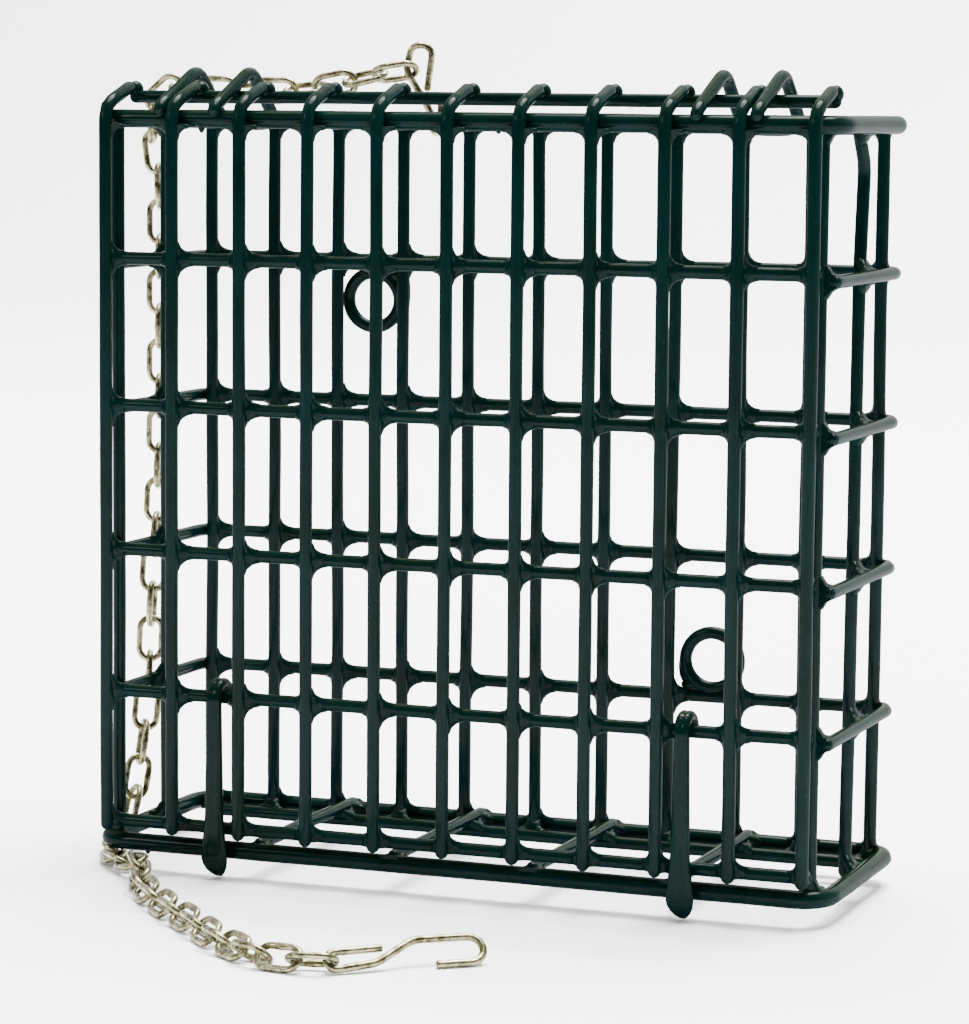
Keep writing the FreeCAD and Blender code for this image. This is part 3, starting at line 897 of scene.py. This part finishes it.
def ear_family():
    """The star pad with no saddle, kept in front of the ring, and cut off above its lower arm."""
    top = np.array([upright_x[-1] + half_wire, np.inf, ring_front[2] - EAR_TOP])
    bottom = np.array([upright_x[0] - half_wire, -np.inf, -np.inf])
    rows = crossings(upright_x, [door_y + SWING_GAP], [ring_front[2]])
    return web_family(rows, X, Z, Y, half_ring, half_wire, 0.0, EAR_FILLET, EAR_THICK, (bottom, top))


make_piece("door_fold_ears", [ear_family()], vinyl, "door")


def drip_shape(place, width, drop, sides=12):
    """radius(u) = width sqrt(1 - u^2) (0.75 + exp(-(u / 0.3)^2)) for u down the drip."""
    u = np.linspace(0, 0.99, 12)
    radius = width * np.sqrt(1 - u ** 2) * (0.75 + np.exp(-(u / 0.3) ** 2))
    line = np.asarray(place) - drop * u[:, None] * Z
    return carried(line, X, radius[:, None] + np.zeros((1, sides)), sides), grid_faces(12, sides, False)


ring_under = ring_front - (0, 0, half_ring - 0.7)
low_under = low_ring_front - (0, 0, half_ring - 0.7)
# Where each drip leaves its rod, its width and its length.
DRIPS = [(ring_under + (-46.6, 0, 0), 0.85, 1.5), (ring_under + (8.0, 0, 0), 0.8, 1.1),
         (low_under + (-57.0, 0, 0), 0.8, 1.2), ((ring_side, -2.0, low_under[2]), 0.8, 1.2),
         ((-16.0, ring_back, low_under[2]), 0.85, 1.2), ((47.0, ring_back, low_under[2]), 0.8, 1.1)]
make_piece("vinyl_drips", [drip_shape(*drip) for drip in DRIPS], vinyl, "cage")
print("drips:", len(DRIPS))

# %% [markdown]
# ## The zinc
# Chain and hooks are bright zinc plate over steel. It is warm, nearly nickel, duller and browner
# where links rub and where the plate thinned, with fine drawing marks along the wire. Fine roughness
# noise, the same in every direction, stands in for those marks without any picture.

# %% Zinc material
ZINC_BRIGHT = (0.33, 0.305, 0.18, 1)
ZINC_WORN = (0.075, 0.068, 0.030, 1)
zinc, tree, shader = new_material("zinc_plate")
worn = spread(tree, noise(tree, 520, 4, 0.6), 0.40, 0.60, 0, 1)
tree.links.new(mixed(tree, worn, ZINC_BRIGHT, ZINC_WORN), shader.inputs["Base Color"])
tree.links.new(spread(tree, noise(tree, 900, 3), 0.3, 0.7, 0.2, 0.42), shader.inputs["Roughness"])
shader.inputs["Metallic"].default_value = 1.0
bumped(tree, shader, noise(tree, 1900, 3), 0.00006, 0.3)
print("zinc material with", len(tree.nodes), "nodes")

# %% [markdown]
# ## Hooks
# The top hook is wound round the ring's rear rod and stands up into an open loop. The end hook
# lies tilted on the ground: its outline is flat, so two directions and a list of its corners give
# it. Their ends are cut, not dipped, so they are rounded only a little.

# %% Top hook
WRAP = (RING + HOOK) / 2 + 0.02
wrap_near, wrap_far = ring_back - WRAP, ring_back + WRAP
top_z = ring_front[2]
top_hook_corners = [
    (-21.2, door_y + 43.6, top_z + 5.2), (-20.2, door_y + 43.9, top_z + 13.4),
    (-23.9, door_y + 42.8, top_z + 13.4), (-24.8, door_y + 42.5, top_z + 8.9),
    (-20.3, wrap_near, top_z + 1.2), (-20.3, wrap_near, top_z - WRAP),
    (-20.3, wrap_far, top_z - WRAP), (-20.3, wrap_far, top_z + 4.0)]
top_hook_line = bent(top_hook_corners, [1.75, 1.75, 2.5, 0.9, WRAP - 0.01, WRAP - 0.01])
shape = wire_shape(top_hook_line, (1, 1, 0.3), HOOK, 480, step=0.7, blunt=0.5)
top_hook = make_piece("top_hook_zinc", [shape], zinc, "cage", ["top_hook"])
print("top hook wire %.0f mm" % line_length(top_hook_line))

# %% End hook
HOOK_END = np.array([3.0, door_y - 56.1, 2.2])
HOOK_RUN = unit([20.6, 15.9, 0.0])
HOOK_TILT = math.radians(48)
EYE_MIDDLE = 2.0
hook_across = np.array([-HOOK_RUN[1], HOOK_RUN[0], 0.0]) * math.cos(HOOK_TILT) + Z * math.sin(HOOK_TILT)
end_hook_outline = np.array([
    (9.4, 3.5), (0, 3.2), (0, 0), (8.0, 0.9), (14.5, 4.6), (25.6, 4.6), (25.6, 0), (17.4, 0)])
end_hook_corners = (HOOK_END + end_hook_outline[:, :1] * HOOK_RUN
                    + (end_hook_outline[:, 1:] - EYE_MIDDLE) * hook_across)
end_hook_line = bent(end_hook_corners, [1.55, 1.55, 4.0, 4.0, 2.28, 2.28])
shape = wire_shape(end_hook_line, np.cross(HOOK_RUN, hook_across), HOOK, 481, step=0.7, blunt=0.5)
end_hook = make_piece("end_hook_zinc", [shape], zinc, "cage", ["end_hook"])
print("end hook wire %.0f mm" % line_length(end_hook_line))

# %% [markdown]
# ## The chain's line
# The chain hangs from the top hook, lies over the open top, falls down the left side, passes under
# the front corner and lies on the ground. One smooth spline carries it. Its control points are
# listed, and the curve rounds every corner between them by itself.

# %% Chain route
DOOR_PLANE = -23.105               # Y of the door's uprights, which the route's Y is counted from
ROUTE_POINTS = np.array([
    (-24.6, 42.5, 140.9), (-29.5, 41.1, 140.2), (-35.0, 39.8, 138.7), (-41.5, 38.9, 137.4),
    (-48.5, 38.3, 137.1), (-55.5, 38.0, 137.2), (-62.5, 37.8, 137.4), (-69.8, 37.6, 138.0),
    (-73.2, 37.5, 132.4), (-71.5, 37.2, 124.5), (-70.9, 36.9, 116.0), (-70.9, 36.6, 102.0),
    (-70.8, 36.4, 88.0), (-70.8, 36.3, 74.0), (-70.9, 35.4, 60.0), (-70.8, 33.1, 47.0),
    (-71.0, 32.5, 35.0), (-71.0, 31.3, 25.0), (-71.1, 28.9, 16.0), (-71.9, 27.8, 8.6),
    (-71.1, 23.2, 3.0), (-69.9, 16.9, 1.4), (-67.7, 11.8, 1.8), (-65.7, 6.0, 1.8),
    (-60.9, 0.2, 1.6), (-55.0, -4.0, 3.1), (-50.5, -13.5, 2.1), (-45.5, -21.0, 2.1),
    (-40.2, -27.2, 2.1), (-34.2, -33.5, 2.1), (-28.0, -39.5, 2.1), (-21.5, -46.5, 2.1),
    (-15.5, -52.0, 2.1), (-9.0, -56.2, 2.1), (-2.8, -57.7, 2.1), (3.0, -56.1, 2.2)])
CHAIN_ROUTE = [tuple(p) for p in ((ROUTE_POINTS + (0, DOOR_PLANE, 0)) * MM).round(6).tolist()]

curve = bpy.data.curves.new("chain_route", "CURVE")
curve.dimensions = "3D"
curve.resolution_u = 40
spline = curve.splines.new("NURBS")
spline.points.add(len(CHAIN_ROUTE) - 1)
for point, place in zip(spline.points, CHAIN_ROUTE):
    point.co = (*place, 1.0)
spline.order_u = 3
spline.use_endpoint_u = True
route_object = bpy.data.objects.new("chain_route", curve)
route_mesh = bpy.data.meshes.new_from_object(route_object)
route = np.array([v.co for v in route_mesh.vertices]) / MM
bpy.data.objects.remove(route_object)
route_length = line_length(route)
print("chain line %.1f mm through %d points" % (route_length, len(route)))

# %% [markdown]
# ## The links
# A link is a round profile carried round a flat oval, with a small bulge where its wire was
# welded shut. Links take turns: each is turned by a right angle from the next about the chain's
# line. Hanging they are pulled nearly tight, and on the ground they lie a little closer, leaning
# one way and the other. All links are one array: each is the same oval, placed by its middle and
# three directions.

# %% Link places
LINK_WIRE, LINK_LENGTH, LINK_WIDTH = 1.15, 8.8, 5.2
PITCH_HANGING, PITCH_SLACK, PITCH_GROUND, FIRST_LINK = 6.4, 5.6, 6.1, 2.2
GROUND_REACH, BEND_REACH, OPEN_GROUND_Y = 4.0, 17.0, door_y - 3.0
LEAN_FREE, LEAN_LOW, TURN_HANGING, UNTWIST_LINKS = 45.0, 26.3, 45.0, 7
TOP_HOOK_TURN, END_HOOK_TURN = -31.0, 14.0


def link_distances():
    """How far along the line each link's middle is; the open ground takes up what is left."""
    stops = [FIRST_LINK]
    spot = at_distances(route, stops)[0]
    while spot[2] > GROUND_REACH or spot[1] > OPEN_GROUND_Y:
        hanging = BEND_REACH < spot[2] < top_z - GROUND_REACH
        stops.append(stops[-1] + (PITCH_HANGING if hanging else PITCH_SLACK))
        spot = at_distances(route, stops[-1:])[0]
    left = route_length - FIRST_LINK - stops[-1]
    steps = int(round(left / PITCH_GROUND))
    steps += (len(stops) + steps + 1) % 2
    return np.concatenate([stops, stops[-1] + left * np.arange(1, steps + 1) / steps])


def link_directions(stops):
    """Along the line, and level across it, handed on from link to link so that it never flips."""
    spots = at_distances(route, stops)
    half_link = PITCH_SLACK / 2
    along = unit(at_distances(route, stops + half_link) - at_distances(route, stops - half_link))
    level = np.cross(Z, along[-1])
    levels = []
    for way in along[::-1]:
        level = unit(level - way * (way @ level))
        levels.append(level)
    return spots, along, np.array(levels[::-1])


def link_turns(spots):
    """Degrees about the line: a right angle between neighbours, twisting slowly where it hangs."""
    k = np.arange(len(spots))
    first_down = int(np.argmax(spots[:, 2] < GROUND_REACH))
    covered = (k >= first_down) & (spots[:, 1] > OPEN_GROUND_Y)
    lean = np.where(covered, LEAN_LOW, LEAN_FREE)
    above = np.clip(first_down - k, 0, UNTWIST_LINKS) / UNTWIST_LINKS
    turns = TURN_HANGING * above + np.where(k % 2, lean, -lean)
    turns[0] += TOP_HOOK_TURN
    turns[-1] += END_HOOK_TURN
    return np.radians(turns)[:, None]


stops = link_distances()
spots, along, level = link_directions(stops)
turns = link_turns(spots)
side = level * np.cos(turns) + np.cross(along, level) * np.sin(turns)
print("links:", len(stops))

# %% Links
def oval_link(stations=36, sides=12):
    """A link lying flat: two half circles and two straights, a profile carried round them, and a
    weld bulge of 14% at the middle of one straight."""
    half_width = (LINK_WIDTH - LINK_WIRE) / 2
    straight = (LINK_LENGTH - LINK_WIDTH) / 2
    around = 2 * math.pi * half_width + 4 * straight
    bow = np.linspace(-math.pi / 2, math.pi / 2, 40)
    ends = np.stack([straight + half_width * np.cos(bow), half_width * np.sin(bow), 0 * bow], axis=1)
    outline = np.concatenate([ends, -ends, ends[:1]])
    distances = np.linspace(0, around, stations, endpoint=False)
    line = at_distances(outline, distances)
    weld = math.pi * half_width + straight
    radius = LINK_WIRE / 2 * (1 + 0.14 * np.exp(-((distances - weld) / 0.8) ** 2))
    return carried(line, Z, radius[:, None] + np.zeros((1, sides)), sides, closed=True)


flat_link = oval_link()
local = flat_link.reshape(-1, 3)
normal = np.cross(along, side)
directions = np.stack([along, side, normal], axis=1)
chain_points = spots[:, None] + np.einsum("pk,nkc->npc", local, directions)
one_link = np.array(grid_faces(*flat_link.shape[:2], True))
chain_faces = (np.arange(len(spots))[:, None, None] * len(local) + one_link).reshape(-1, 4).tolist()
chain = make_piece("hanging_chain", [(chain_points, chain_faces)], zinc, "cage",
                   ["chain_top", "chain_side", "chain_floor"])
print("chain faces:", len(chain_faces))

# %% [markdown]
# ## Measuring
# How far the finished model's box reaches past the frame's box, along X, Y and Z, is printed.

# %% Sizes
low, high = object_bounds()
grown = [round(max(a - b, c - d) / MM, 2) for a, b, c, d in zip(cad_low, low, high, cad_high)]
print("visual model outgrows the frame by at most", grown, "mm along X, Y, Z")
